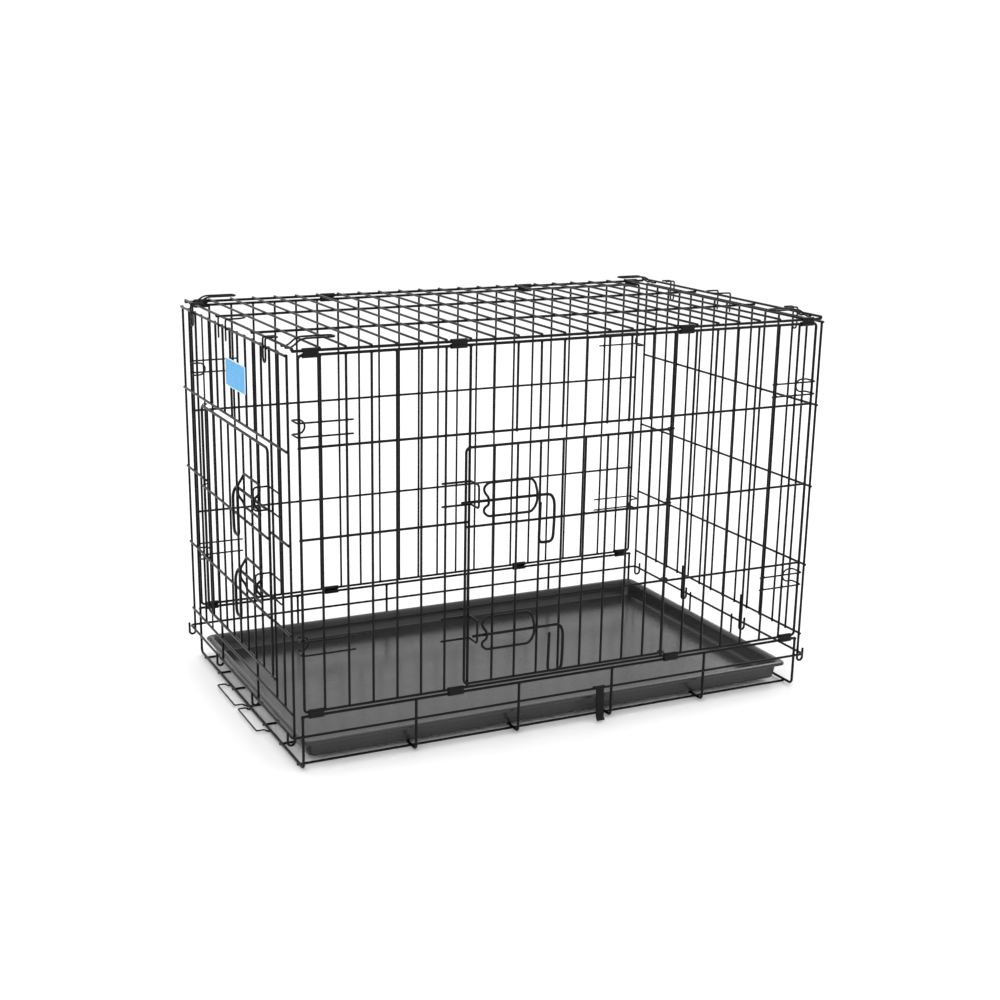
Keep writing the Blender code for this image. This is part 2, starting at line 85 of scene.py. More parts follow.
cam_data = bpy.data.cameras.new("camera")
cam_data.sensor_fit = "HORIZONTAL"
cam_data.sensor_width = 36.0
cam_data.lens = 56.584
cam_data.shift_x = 0.03975
cam_data.shift_y = 0.0474
cam_data.clip_start = 0.05
cam_data.clip_end = 60.0
camera = bpy.data.objects.new("camera", cam_data)
bpy.context.scene.collection.objects.link(camera)
right = Vector((0.90811976, -0.4185978, 0.00971546))
down = Vector((-0.10940873, -0.25962426, -0.95949204))
ahead = Vector((0.40416363, 0.87027072, -0.28156818))
turn = Matrix((right, -down, -ahead)).transposed().to_4x4()
camera.matrix_world = (
    Matrix.Translation(metres((-978.888, -1996.319, 843.926))) @ turn
)
bpy.context.scene.camera = camera


# --- materials ----------------------------------------------------------------


class Nodes:
    """A small helper that adds nodes to one material."""

    def __init__(self, name):
        self.mat = bpy.data.materials.new(name)
        self.mat.use_nodes = True
        self.tree = self.mat.node_tree
        self.shader = self.tree.nodes["Principled BSDF"]
        self.coord = self.tree.nodes.new("ShaderNodeTexCoord").outputs["Object"]

    def noise(self, scale, detail=3.0, rough=0.5, stretch=None):
        node = self.tree.nodes.new("ShaderNodeTexNoise")
        node.inputs["Scale"].default_value = scale
        node.inputs["Detail"].default_value = detail
        node.inputs["Roughness"].default_value = rough
        source = self.coord
        if stretch:
            mapping = self.tree.nodes.new("ShaderNodeMapping")
            mapping.inputs["Scale"].default_value = stretch
            self.tree.links.new(source, mapping.inputs["Vector"])
            source = mapping.outputs["Vector"]
        self.tree.links.new(source, node.inputs["Vector"])
        return node.outputs["Fac"]

    def ramp(self, source, stops):
        node = self.tree.nodes.new("ShaderNodeValToRGB")
        ramp = node.color_ramp
        while len(ramp.elements) < len(stops):
            ramp.elements.new(0.5)
        for element, (place, colour) in zip(ramp.elements, stops):
            element.position = place
            element.color = colour if len(colour) == 4 else (*colour, 1.0)
        self.tree.links.new(source, node.inputs["Fac"])
        return node.outputs["Color"]

    def spread(self, source, low, high, from_low=0.3, from_high=0.7):
        node = self.tree.nodes.new("ShaderNodeMapRange")
        node.inputs["From Min"].default_value = from_low
        node.inputs["From Max"].default_value = from_high
        node.inputs["To Min"].default_value = low
        node.inputs["To Max"].default_value = high
        self.tree.links.new(source, node.inputs["Value"])
        return node.outputs["Result"]

    def to(self, source, socket):
        self.tree.links.new(source, self.shader.inputs[socket])

    def bump(self, source, strength, distance, before=None):
        node = self.tree.nodes.new("ShaderNodeBump")
        node.inputs["Strength"].default_value = strength
        node.inputs["Distance"].default_value = distance
        self.tree.links.new(source, node.inputs["Height"])
        if before is not None:
            self.tree.links.new(before, node.inputs["Normal"])
        self.tree.links.new(node.outputs["Normal"], self.shader.inputs["Normal"])
        return node.outputs["Normal"]


def powder_coat(name="black_powder_coat", light=1.0):
    n = Nodes(name)
    shade = n.noise(45.0, 4.0)
    a, b = 0.0015 * light, 0.0035 * light
    n.to(n.ramp(shade, [(0.3, (a, a, a * 1.04)), (0.7, (b, b, b * 1.05))]), "Base Color")
    n.to(n.spread(n.noise(420.0, 3.0), 0.26, 0.40), "Roughness")
    n.shader.inputs["Specular IOR Level"].default_value = 0.14
    n.shader.inputs["Coat Weight"].default_value = 0.03
    n.shader.inputs["Coat Roughness"].default_value = 0.14
    first = n.bump(n.noise(900.0, 2.0), 0.16, 0.0002)
    n.bump(n.noise(220.0, 2.0), 0.10, 0.0003, first)
    return n.mat


def pan_plastic():
    n = Nodes("pan_plastic")
    shade = n.noise(9.0, 5.0)
    n.to(
        n.ramp(shade, [(0.3, (0.017, 0.017, 0.018)), (0.7, (0.025, 0.025, 0.0265))]),
        "Base Color",
    )
    n.to(n.spread(n.noise(60.0, 5.0, 0.6), 0.17, 0.26), "Roughness")
    n.shader.inputs["Specular IOR Level"].default_value = 0.5
    first = n.bump(n.noise(1700.0, 2.0), 0.04, 0.0001)
    second = n.bump(n.noise(14.0, 2.0), 0.14, 0.0006, first)
    n.bump(n.noise(5.0, 1.0, 0.4, (1.0, 2.2, 1.0)), 0.2, 0.002, second)
    return n.mat


# With the flag True this gives a lighter, whitened blue copy of the tag plastic: a painted highlight for the light
# caught on the tag's raised rim and edges.
def tag_plastic(name, rim_highlight):
    n = Nodes(name)
    low = (0.50, 0.72, 0.82) if rim_highlight else (0.035, 0.33, 0.68)
    high = (0.58, 0.78, 0.88) if rim_highlight else (0.045, 0.38, 0.75)
    n.to(n.ramp(n.noise(70.0, 3.0), [(0.35, low), (0.65, high)]), "Base Color")
    n.to(n.spread(n.noise(300.0, 3.0), 0.22, 0.36), "Roughness")
    n.shader.inputs["Specular IOR Level"].default_value = 0.2
    n.shader.inputs["Coat Weight"].default_value = 0.03
    n.shader.inputs["Coat Roughness"].default_value = 0.1
    n.bump(n.noise(500.0, 2.0), 0.05, 0.0001)
    return n.mat


PAINT = powder_coat()
CLIP = powder_coat("black_clip_steel", 1.1)
PAN = pan_plastic()
TAG = tag_plastic("blue_tag", False)
# Lighter blue copy of the tag plastic: painted highlight on the tag's rim and edges.
TAG_RIM_HIGHLIGHT = tag_plastic("blue_tag_rim_painted_highlight", True)


# --- making pieces ---------------------------------------------------------------


def put(obj, mat, body, nodes=()):
    if not obj.users_collection:
        bpy.context.scene.collection.objects.link(obj)
    obj.data.materials.clear()
    obj.data.materials.append(mat)
    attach(obj, body)
    if nodes:
        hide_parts(*nodes)
    return obj


def soften(points, bend, closed, steps=5):
    """Replaces each corner of a path by a short curve."""
    pts = [Vector(p) for p in points]
    count = len(pts)
    out = []
    for k, here in enumerate(pts):
        if not closed and k in (0, count - 1):
            out.append(here)
            continue
        before, after = pts[k - 1], pts[(k + 1) % count]
        a, b = before - here, after - here
        if a.length < 1e-6 or b.length < 1e-6:
            out.append(here)
            continue
        angle = a.angle(b, math.pi)
        if angle > math.radians(179):
            out.append(here)
            continue
        reach_a = min(bend, a.length * 0.48)
        reach_b = min(bend, b.length * 0.48)
        p0 = here + a.normalized() * reach_a
        p2 = here + b.normalized() * reach_b
        many = steps if angle < math.radians(150) else 2
        for s in range(many + 1):
            t = s / many
            out.append(
                p0 * (1 - t) ** 2 + here * (2 * t * (1 - t)) + p2 * t**2
            )
    return out


def wandering(start, end, amount):
    """A nearly straight wire: drawn wire is never quite straight."""
    a, b = Vector(start), Vector(end)
    run = b - a
    if run.length < 60 or amount <= 0:
        return [a, b]
    side = run.orthogonal().normalized()
    other = run.cross(side).normalized()
    u, v = rng.uniform(-amount, amount), rng.uniform(-amount, amount)
    w = rng.uniform(-amount, amount) * 0.5
    pts = []
    for k in range(7):
        t = k / 6
        bow = math.sin(math.pi * t)
        wave = math.sin(2 * math.pi * t)
        pts.append(a + run * t + side * (u * bow + w * wave) + other * (v * bow))
    return pts


def wires(name, paths, body, nodes=(), mat=None, sides=2):
    """Round wires with rounded ends. A path is (points, radius, closed) or (points, radius, closed, bend)."""
    data = bpy.data.curves.new(name, "CURVE")
    data.dimensions = "3D"
    data.bevel_mode = "ROUND"
    data.bevel_depth = MM
    data.bevel_resolution = sides
    data.use_fill_caps = True
    data.resolution_u = 1
    for path in paths:
        points, radius, closed = path[:3]
        bend = path[3] if len(path) > 3 else 4.0
        pts = soften(points, bend, closed) if bend else [Vector(p) for p in points]
        marks = [(p, 1.0) for p in pts]
        if not closed:
            first = (pts[1] - pts[0]).normalized()
            last = (pts[-2] - pts[-1]).normalized()
            head = [
                (pts[0] + first * radius * (1 - math.cos(t)), math.sin(t))
                for t in (0.35, 0.8, 1.2)
            ]
            tail = [
                (pts[-1] + last * radius * (1 - math.cos(t)), math.sin(t))
                for t in (1.2, 0.8, 0.35)
            ]
            marks = (
                head
                + [(pts[0] + first * radius, 1.0)]
                + marks[1:-1]
                + [(pts[-1] + last * radius, 1.0)]
                + tail
            )
        line = data.splines.new("POLY")
        line.points.add(len(marks) - 1)
        for spot, (point, size) in zip(line.points, marks):
            spot.co = (*metres(point), 1.0)
            spot.radius = radius * size
        line.use_cyclic_u = closed
        line.use_smooth = True
    obj = bpy.data.objects.new(name, data)
    return put(obj, mat or PAINT, body, nodes)


def mesh_object(name, shape, mat, body, nodes=(), smooth_angle=35.0):
    mesh = bpy.data.meshes.new(name)
    shape.to_mesh(mesh)
    shape.free()
    mesh.shade_smooth()
    mesh.set_sharp_from_angle(angle=math.radians(smooth_angle))
    return put(bpy.data.objects.new(name, mesh), mat, body, nodes)


def welds(name, spots, body):
    """Squeezed weld metal where two wires cross. A spot is (point, normal axis, run, width, height)."""
    shape = bmesh.new()
    for point, axis, long_r, wide_r, deep_r in spots:
        size = [wide_r, wide_r, wide_r]
        size[axis[0]] = deep_r
        size[axis[1]] = long_r
        grow = rng.uniform(0.92, 1.1)
        place = Matrix.Translation(metres(point)) @ Matrix.Diagonal(
            (*[s * MM * grow for s in size], 1.0)
        )
        bmesh.ops.create_icosphere(shape, subdivisions=2, radius=1.0, matrix=place)
    return mesh_object(name, shape, PAINT, body, smooth_angle=180.0)


def corner_arc(cx, cy, radius, start, stop, steps):
    turn = [math.radians(start + (stop - start) * k / steps) for k in range(steps + 1)]
    return [(cx + radius * math.cos(t), cy + radius * math.sin(t)) for t in turn]


def rounded_rectangle(low_u, high_u, low_v, high_v, radius, steps=6):
    return (
        corner_arc(high_u - radius, high_v - radius, radius, 0, 90, steps)
        + corner_arc(low_u + radius, high_v - radius, radius, 90, 180, steps)
        + corner_arc(low_u + radius, low_v + radius, radius, 180, 270, steps)
        + corner_arc(high_u - radius, low_v + radius, radius, 270, 360, steps)
    )


def straight(start, end, radius, wander=0.22):
    return (wandering(start, end, wander), radius, False, 0)


# --- base frame ---------------------------------------------------------------------

U_X = (-379.0, -222.5, -72.0, 72.0, 222.5, 379.0)
FLOOR_Y = (-215.0, -143.5, -72.0, 0.0, 72.0, 143.5, 215.0)


def base_frame():
    side, low = HALF_DEPTH, FLOOR_Z
    paths = []
    for x in U_X:
        edge = abs(x) > 300
        top = BASE_RAIL_Z if edge else BASE_RAIL_Z + 1.2
        line = [(x, -side, top), (x, -side, low), (x, side, low), (x, side, top)]
        paths.append((line, R_FRAME, False, 7.0))
    for y in (-side, side):
        paths.append(straight((-380.9, y, BASE_RAIL_Z), (380.9, y, BASE_RAIL_Z), R_FRAME, 0.1))
    z = 1.6
    for y in FLOOR_Y:
        paths.append(straight((-381.2, y, z), (381.2, y, z), 1.6, 0.1))
    ring = [(x, y, RING_Z) for x, y in rounded_rectangle(-RING_X, RING_X, -RING_Y, RING_Y, 5.0)]
    paths.append((ring, R_END, True, 0))
    for y in (-59.0, 59.0):
        paths.append(([(374.0, y, 1.8), (390.7, y, 1.8), (390.7, y, 56.2)], 1.6, False, 4.0))
    wires("base_wires", paths, "base", ("base_frame",), sides=3)
    spots = []
    for x in U_X:
        for y in FLOOR_Y:
            spots.append(((x, y, 3.0), (2, 0), 2.3, 2.3, 1.1))
        for s in (-1, 1):
            spots.append(((x, s * (side + 1.6), RING_Z), (1, 2), 2.4, 2.3, 1.1))
            spots.append(((x, s * side, BASE_RAIL_Z - 1.2), (1, 2), 2.2, 2.9, 2.25))
    for y in (-59.0, 59.0):
        spots.append(((392.1, y, RING_Z), (0, 2), 2.2, 2.2, 1.1))
        spots.append(((379.0, y, 3.1), (2, 0), 2.2, 2.2, 1.1))
    welds("base_welds", spots, "base")


# --- panels -----------------------------------------------------------------------------


def face_frame(low_x, high_x, low_z, high_z, y):
    outline = rounded_rectangle(low_x, high_x, low_z, high_z, 5.0)
    return ([(x, y, z) for x, z in outline], R_FRAME, True, 0)


def front_panel():
    y = -HALF_DEPTH
    inner = y + CROSS_GAP
    mid = (y + inner) / 2
    paths, spots = [], []
    half_cross = ((-378.3, -147.2), (147.2, 378.3))
    for i in range(1, 23):
        radius = R_FRAME if i in (7, 16) else R_UP
        short = 8 <= i <= 15
        low = 419.8 if short else HINGE_LOW_Z
        x = grid_x(i)
        paths.append(straight((x, y, low), (x, y, HINGE_TOP_Z), radius, 0.0 if radius == R_FRAME else 0.22))
        spots.append(((x, mid, 422.3), (1, 0), 2.2, 2.0, 1.3))
        spots.append(((x, y, HINGE_TOP_Z - 1.3), (1, 2), 1.9, radius * 1.35, radius * 1.1))
        if not short:
            spots.append(((x, y, HINGE_LOW_Z + 1.3), (1, 2), 1.9, radius * 1.35, radius * 1.1))
            for z in (306.5, 190.0):
                spots.append(((x, mid, z), (1, 0), 2.2, 2.0, 1.3))
    paths.append(straight((-378.3, inner, 422.3), (378.3, inner, 422.3), R_CROSS, 0.2))
    for z in (306.5, 190.0):
        for a, b in half_cross:
            paths.append(straight((a, inner, z), (b, inner, z), R_CROSS, 0.15))
    for x in (-FRAME_HALF, FRAME_HALF):
        for z in (422.3, 306.5, 190.0):
            spots.append(((x, mid, z), (1, 2), 2.3, 2.2, 1.4))
    paths.append(face_frame(-FRAME_HALF, FRAME_HALF, HINGE_LOW_Z, HINGE_TOP_Z, y))
    wires("front_wires", paths, "front", ("front_panel",))
    welds("front_welds", spots, "front")


def back_panel():
    y = HALF_DEPTH
    outer = y + CROSS_GAP
    mid = (y + outer) / 2
    paths, spots = [], []
    for i in range(1, 23):
        x = grid_x(i)
        paths.append(straight((x, y, HINGE_LOW_Z), (x, y, HINGE_TOP_Z), R_UP))
        for z in (226.5, 381.0):
            spots.append(((x, mid, z), (1, 0), 2.2, 2.0, 1.3))
        for z, s in ((HINGE_TOP_Z, -1), (HINGE_LOW_Z, 1)):
            spots.append(((x, y, z + 1.3 * s), (1, 2), 1.9, 1.7, 1.4))
    for z in (226.5, 381.0):
        paths.append(straight((-378.3, outer, z), (378.3, outer, z), R_CROSS, 0.2))
        for x in (-FRAME_HALF, FRAME_HALF):
            spots.append(((x, mid, z), (1, 2), 2.3, 2.2, 1.4))
    paths.append(face_frame(-FRAME_HALF, FRAME_HALF, HINGE_LOW_Z, HINGE_TOP_Z, y))
    wires("back_wires", paths, "back", ("back_panel",))
    welds("back_welds", spots, "back")


def top_panel():
    paths, spots = [], []
    rails = [(y, TOP_Z, R_FRAME) for y in (-HALF_DEPTH, HALF_DEPTH)]
    rails += [(y, TOP_Z + 0.2, R_CROSS) for y in (-78.7, 78.7)]
    for y, z, radius in rails:
        paths.append(straight((-384.8, y, z), (384.8, y, z), radius, 0.1 if radius == R_FRAME else 0.2))
    for i in range(1, 23):
        x = grid_x(i)
        z = TOP_Z + 2.55
        paths.append(straight((x, -237.6, z), (x, 237.6, z), R_UP))
        for y, rail_z, radius in rails:
            spots.append(((x, y, (z + rail_z) / 2 + 0.1), (2, 0), 2.2, 2.1, 1.3))
    for x in (-383.35, 383.35):
        paths.append(straight((x, -237.8, TOP_Z + 3.0), (x, 237.8, TOP_Z + 3.0), R_END, 0.0))
        for y, rail_z, radius in rails:
            spots.append(((x, y, TOP_Z + 1.6), (2, 0), 2.3, 2.3, 1.4))
    for sx in (-1, 1):
        for sy in (-1, 1):
            near, far = 197.0 * sy, 213.0 * sy
            out = [(384.5, 541.6), (376.0, 541.6), (364.0, 552.0), (319.0, 552.0)]
            line = [(sx * x, near, z) for x, z in out]
            line += [(sx * x, far, z) for x, z in reversed(out)]
            paths.append((line, R_GRID, False, 7.5))
            for y in (near, far):
                spots.append(((sx * 383.0, y, 542.5), (2, 0), 2.1, 2.1, 1.2))
    wires("top_wires", paths, "top", ("top_panel",))
    welds("top_welds", spots, "top")


def hanging_hook(side_x, y, top_z):
    cx, cz = RING_X, 41.5
    line = [(side_x * END_X, y, top_z)]
    line += [
        (side_x * (cx + 4.5 * math.cos(math.radians(a))), y, cz + 4.5 * math.sin(math.radians(a)))
        for a in range(180, 361, 20)
    ]
    line.append((side_x * (cx + 4.5), y, 56.0))
    return (line, R_END, False, 0)


def end_panel(label, side_x, doorway, body, node):
    x = side_x * END_X
    cross_x = side_x * END_CROSS_X
    mid = (x + cross_x) / 2
    paths, spots = [], []
    levels = [(535.5, 0), (418.6, 0), (300.8, 1), (184.1, 1), (78.8, 0)]
    for j in range(1, 14):
        inside = doorway and 3 <= j <= 10
        low = 415.9 if inside else 76.4
        y = end_y(j)
        radius = R_GRID if doorway and j == 11 else R_UP
        paths.append(straight((x, y, low), (x, y, 537.4), radius, 0.0 if radius == R_GRID else 0.22))
        for z, split in levels:
            if inside and z < 418:
                continue
            spots.append(((mid, y, z), (0, 1), 2.2, 2.0, 1.3))
    for z, split in levels:
        if split and doorway:
            spans = ((-233.6, end_y(2) + 2.0), (end_y(11) - 2.0, 233.6))
        else:
            spans = ((-233.6, 233.6),)
        for a, b in spans:
            paths.append(straight((cross_x, a, z), (cross_x, b, z), R_CROSS, 0.15))
        for s in (0, 14):
            spots.append(((mid, end_y(s), z), (0, 2), 2.2, 2.2, 1.5))
    if doorway:
        paths.append(
            straight((cross_x, end_y(2) - 2.0, 103.0), (cross_x, end_y(11) + 2.0, 103.0), R_CROSS, 0.1)
        )
        for y in (end_y(2), end_y(11)):
            spots.append(((mid, y, 103.0), (0, 1), 2.2, 2.0, 1.3))
    stem_top = 106.4 if doorway else 95.0
    for y in (end_y(0), end_y(14)):
        paths.append(hanging_hook(side_x, y, 537.4))
    for y in (-83.0, 83.0):
        paths.append(hanging_hook(side_x, y, stem_top))
        spots.append(((mid, y, 78.8), (0, 1), 2.2, 2.2, 1.4))
        if doorway:
            spots.append(((mid, y, 103.0), (0, 1), 2.2, 2.2, 1.4))
    wires(label + "_wires", paths, body, (node,))
    welds(label + "_welds", spots, body)


# --- doors ------------------------------------------------------------------------------


def on_front(u, w, z):
    return (u, -240.3 - w, z)


def on_left(u, w, z):
    return (-395.45 - w, u - 13.7, z)


def door(label, place, low_u, high_u, low_z, high_z, uprights, mids, eyes, body, node, deep):
    outline = rounded_rectangle(low_u, high_u, low_z, high_z, 6.5)
    paths = [([place(u, 0.0, z) for u, z in outline], R_FRAME, True, 0)]
    spots = []
    run = 0 if deep == 1 else 1
    for u in uprights:
        paths.append(straight(place(u, 0.0, low_z), place(u, 0.0, high_z), R_UP, 0.18))
        for z in mids:
            spots.append((place(u, CROSS_GAP / 2, z), (deep, run), 2.2, 2.0, 1.3))
        for z, s in ((low_z, 1), (high_z, -1)):
            spots.append((place(u, 0.0, z + 1.3 * s), (deep, 2), 1.9, 1.7, 1.4))
    for z in mids:
        a, b = place(low_u - 1.9, CROSS_GAP, z), place(high_u + 1.9, CROSS_GAP, z)
        paths.append(straight(a, b, R_CROSS, 0.12))
        for u in (low_u, high_u):
            spots.append((place(u, CROSS_GAP / 2, z), (deep, 2), 2.3, 2.2, 1.4))
    paths += eyes
    wires(label + "_wires", paths, body, (node,))
    welds(label + "_welds", spots, body)


def doors():
    levels = (87.0, 194.0, 302.5, 406.0)
    eyes = []
    for z in levels:
        inward = 6.0 if z == levels[0] else -6.0 if z == levels[3] else 0.0
        ring = [
            (149.4 + 4.0 * math.cos(math.radians(a)), -236.0 + 4.0 * math.sin(math.radians(a)), z)
            for a in range(-90, 171, 13)
        ]
        lead = [(146.2, -240.3, z + inward)] if inward else [(145.2, -240.3, z)]
        if inward:
            lead.append((147.2, -240.3, z + inward * 0.35))
        eyes.append((lead + ring, R_GRID, False, 1.0))
    door(
        "front_door", on_front, -156.3, 146.2, levels[0], levels[3],
        [grid_x(i) for i in range(8, 16)], levels[1:3], eyes, "front_door", "front_door", 1,
    )
    levels = (109.0, 189.5, 295.0, 411.0)
    eyes = []
    for z in levels:
        inward = 6.0 if z == levels[0] else -6.0 if z == levels[3] else 0.0
        ring = [
            (
                -END_X - 2.75 * math.cos(math.radians(a)),
                end_y(11) + 2.75 * math.sin(math.radians(a)),
                z,
            )
            for a in range(0, 261, 13)
        ]
        lead = [(-395.45, 126.0, z + inward), (-394.2, 129.3, z + inward * 0.3)]
        eyes.append((lead + ring, 0.9, False, 1.0))
    door(
        "left_door", on_left, -156.3, 139.7, levels[0], levels[3],
        [end_y(j) + 13.7 for j in range(3, 11)], levels[1:3], eyes, "left_door", "left_door", 0,
    )


# --- latches -------------------------------------------------------------------------------


def latch(label, place, slid, drop, strand_w, thick, door_body, panel_body):
    line = [
        (-166.0, 6.2, 336.0),
        (-40.0, 6.2, 336.0),
        (-36.0, 6.8, 334.0),
        (-33.5, 8.5, 329.0),
        (-33.0, 9.7, 322.0),
        (-33.0, 9.7, 298.0),
        (-34.0, 9.7, 278.0),
        (-36.6, 9.7, 273.8),
        (-39.5, 9.7, 272.5),
        (-50.5, 9.7, 272.5),
        (-53.6, 9.7, 274.0),
        (-54.8, 9.7, 278.0),
        (-53.6, 9.7, 328.0),
    ]
    points = [place(u + slid, w, z - drop) for u, w, z in line]
    wires(label + "_bolt_wire", [(points, R_BOLT, False, 3.5)], label + "_bolt", (label + "_bolt",), sides=4)
    loop = [
        (-126.0, 3.2, 358.5),
        (-64.0, 3.2, 358.5),
        (-59.0, 3.8, 353.0),
        (-59.0, 10.4, 342.5),
        (-59.0, 10.4, 329.5),
        (-59.0, 3.8, 319.5),
        (-64.0, 3.2, 314.0),
        (-126.0, 3.2, 314.0),
        (-132.5, 3.8, 320.0),
        (-132.5, 5.0, 326.0),
        (-128.5, 10.4, 331.5),
        (-128.5, 10.4, 340.5),
        (-132.5, 5.0, 347.0),
        (-132.5, 3.8, 353.0),
    ]
    points = [place(u, w, z - drop) for u, w, z in loop]
    wires(label + "_keeper_wire", [(points, R_CROSS, True, 3.5)], door_body, (label + "_keeper",), sides=3)
    half = [
        (-187.0, strand_w),
        (-146.5, strand_w),
        (-145.5, strand_w + 1.05),
        (-145.5, 14.0),
    ]
    line = [(u, w, 360.0) for u, w in half]
    line += [(-145.5, 17.95 - thick, 357.3), (-145.5, 17.95 - thick, 332.2)]
    line += [(u, w, 329.5) for u, w in reversed(half)]
    points = [place(u, w, z - drop) for u, w, z in line]
    wires(label + "_catch_wire", [(points, thick, False, 2.2)], panel_body, (label + "_catch",), sides=3)


# --- clips, hooks and the rest ---------------------------------------------------------------


def strip(name, line, low_x, high_x, thick, place, mat, body, nodes, taper=None):
    """A bent steel strip: a ribbon along a line, with thickness and softened edges."""
    shape = bmesh.new()
    rows = []
    count = len(line)
    for k, (a, b) in enumerate(line):
        t = k / (count - 1)
        squeeze = taper(t) if taper else 1.0
        mid, half = (low_x + high_x) / 2, (high_x - low_x) / 2 * squeeze
        rows.append(
            [shape.verts.new(place(mid + half * s, a, b)) for s in (-1.0, -0.5, 0.0, 0.5, 1.0)]
        )
    for one, two in zip(rows, rows[1:]):
        for k in range(4):
            shape.faces.new((one[k], one[k + 1], two[k + 1], two[k]))
    obj = mesh_object(name, shape, mat, body, nodes, 50.0)
    skin = obj.modifiers.new("thickness", "SOLIDIFY")
    skin.thickness = thick * MM
    skin.offset = 0.0
    edge = obj.modifiers.new("edges", "BEVEL")
    edge.width = min(0.22, thick * 0.3) * MM
    edge.segments = 2
    edge.limit_method = "ANGLE"
    edge.angle_limit = math.radians(50)
    return obj


def hinge_clip(name, x, y, z, half_width, body, node):
    """Strip folded round two rails, drawn in a little between them, with its seam inside the crate."""
    inside = 1.0 if y < 0 else -1.0
    line = []
    half_y, reach = 3.05, 2.75
    line.append((half_y * 0.72 * inside, 0.45))
    line.append((half_y * 0.86 * inside, 1.4))
    for a in range(0, 181, 15):
        t = math.radians(a)
        line.append((half_y * math.cos(t) * inside, reach - 0.05 + 3.1 * math.sin(t)))
    line.append((-half_y * 0.86 * inside, 1.3))
    line.append((-half_y * 0.74 * inside, 0.0))
    line.append((-half_y * 0.86 * inside, -1.3))
    for a in range(180, 361, 15):
        t = math.radians(a)
        line.append((half_y * math.cos(t) * inside, -reach + 0.05 + 3.1 * math.sin(t)))
    line.append((half_y * 0.86 * inside, -1.4))
    line.append((half_y * 0.72 * inside, -0.45))

    def place(u, a, b):
        return metres((u, y + a, z + b))

    return strip(name, line, x - half_width, x + half_width, 0.8, place, CLIP, body, (node,))


def corner_hook(name, side_x, side_y, high, low, body, node):
    line = [
        (307.0, 239.5),
        (377.6, 239.5),
        (379.9, 237.3),
        (379.9, 219.4),
        (378.5, 218.0),
    ]
    mid, half = (high + low) / 2, (high - low) / 2
    tip = corner_arc(363.0 + half, mid, half, 90, 270, 14)
    points = [(side_x * x, side_y * y, high) for x, y in line]
    points += [(side_x * x, side_y * 218.0, z) for x, z in tip]
    points += [(side_x * x, side_y * y, low) for x, y in reversed(line)]
    spots = []
    for i in (21, 22) if side_x > 0 else (1, 2):
        for z in (high, low):
            spots.append(((grid_x(i), side_y * 238.2, z), (1, 0), 2.0, 1.9, 1.1))
    wires(name, [(points, R_GRID, False, 3.0)], body, (node,), sides=3)
    welds(name + "_welds", spots, body)


def end_hook(name, side_x, y, body, node):
    half = [(377.5, 548.2), (392.6, 548.2), (394.3, 546.5), (394.3, 523.0)]
    points = [(side_x * x, y - 5.0, z) for x, z in half]
    points += [(side_x * 394.3, y - 3.6, 518.8), (side_x * 394.3, y, 517.0), (side_x * 394.3, y + 3.6, 518.8)]
    points += [(side_x * x, y + 5.0, z) for x, z in reversed(half)]
    spots = [((side_x * 393.2, y + s * 5.0, 535.5), (0, 2), 2.1, 2.0, 1.2) for s in (-1, 1)]
    wires(name, [(points, R_GRID, False, 3.5)], body, (node,), sides=3)
    welds(name + "_welds", spots, body)


def end_tongue(name, side_x, body, node):
    half = [(394.3, 519.0), (394.3, 546.5), (392.6, 548.2)]
    tip = corner_arc(379.5, END_PITCH / 2, END_PITCH / 2, -90, -270, 18)
    points = [(side_x * x, 0.0, z) for x, z in half]
    points += [(side_x * x, y, 548.2) for x, y in tip]
    points += [(side_x * x, END_PITCH, z) for x, z in reversed(half)]
    spots = [((side_x * 393.2, y, 535.5), (0, 2), 2.1, 2.0, 1.2) for y in (0.0, END_PITCH)]
    wires(name, [(points, R_GRID, False, 5.0)], body, (node,), sides=3)
    welds(name + "_welds", spots, body)


def tray_bail(name, low_y, high_y, body, node):
    curl = [(-376.0, 1.9), (-377.0, 1.25), (-381.0, 1.25), (-383.3, 2.5), (-386.0, 4.3)]
    points = [(x, low_y, z) for x, z in curl]
    points += [(-397.0, low_y, 4.3), (-397.0, high_y, 4.3)]
    points += [(x, high_y, z) for x, z in reversed(curl)]
    wires(name, [(points, 1.1, False, 3.0)], body, (node,), sides=3)


def carry_clip():
    line = [
        (2.95 * math.cos(math.radians(a)), 2.95 * math.sin(math.radians(a)))
        for a in range(210, -1, -15)
    ]
    line += [(3.0, -3.0), (3.2, -8.0), (3.9, -14.0), (4.4, -20.0), (4.5, -29.0), (4.4, -38.0)]
    line += [(4.8, -40.2), (5.6, -42.0), (6.9, -43.8), (8.6, -45.0)]

    def place(u, a, b):
        return metres((u, -RING_Y - a, RING_Z + b))

    def taper(t):
        return 1.0 if t < 0.45 else 1.0 - 0.28 * min(1.0, (t - 0.45) / 0.12)

    strip("carry_clip_strip", line, 42.0, 59.0, 1.4, place, CLIP, "carry_clip", ("carry_clip",), taper)


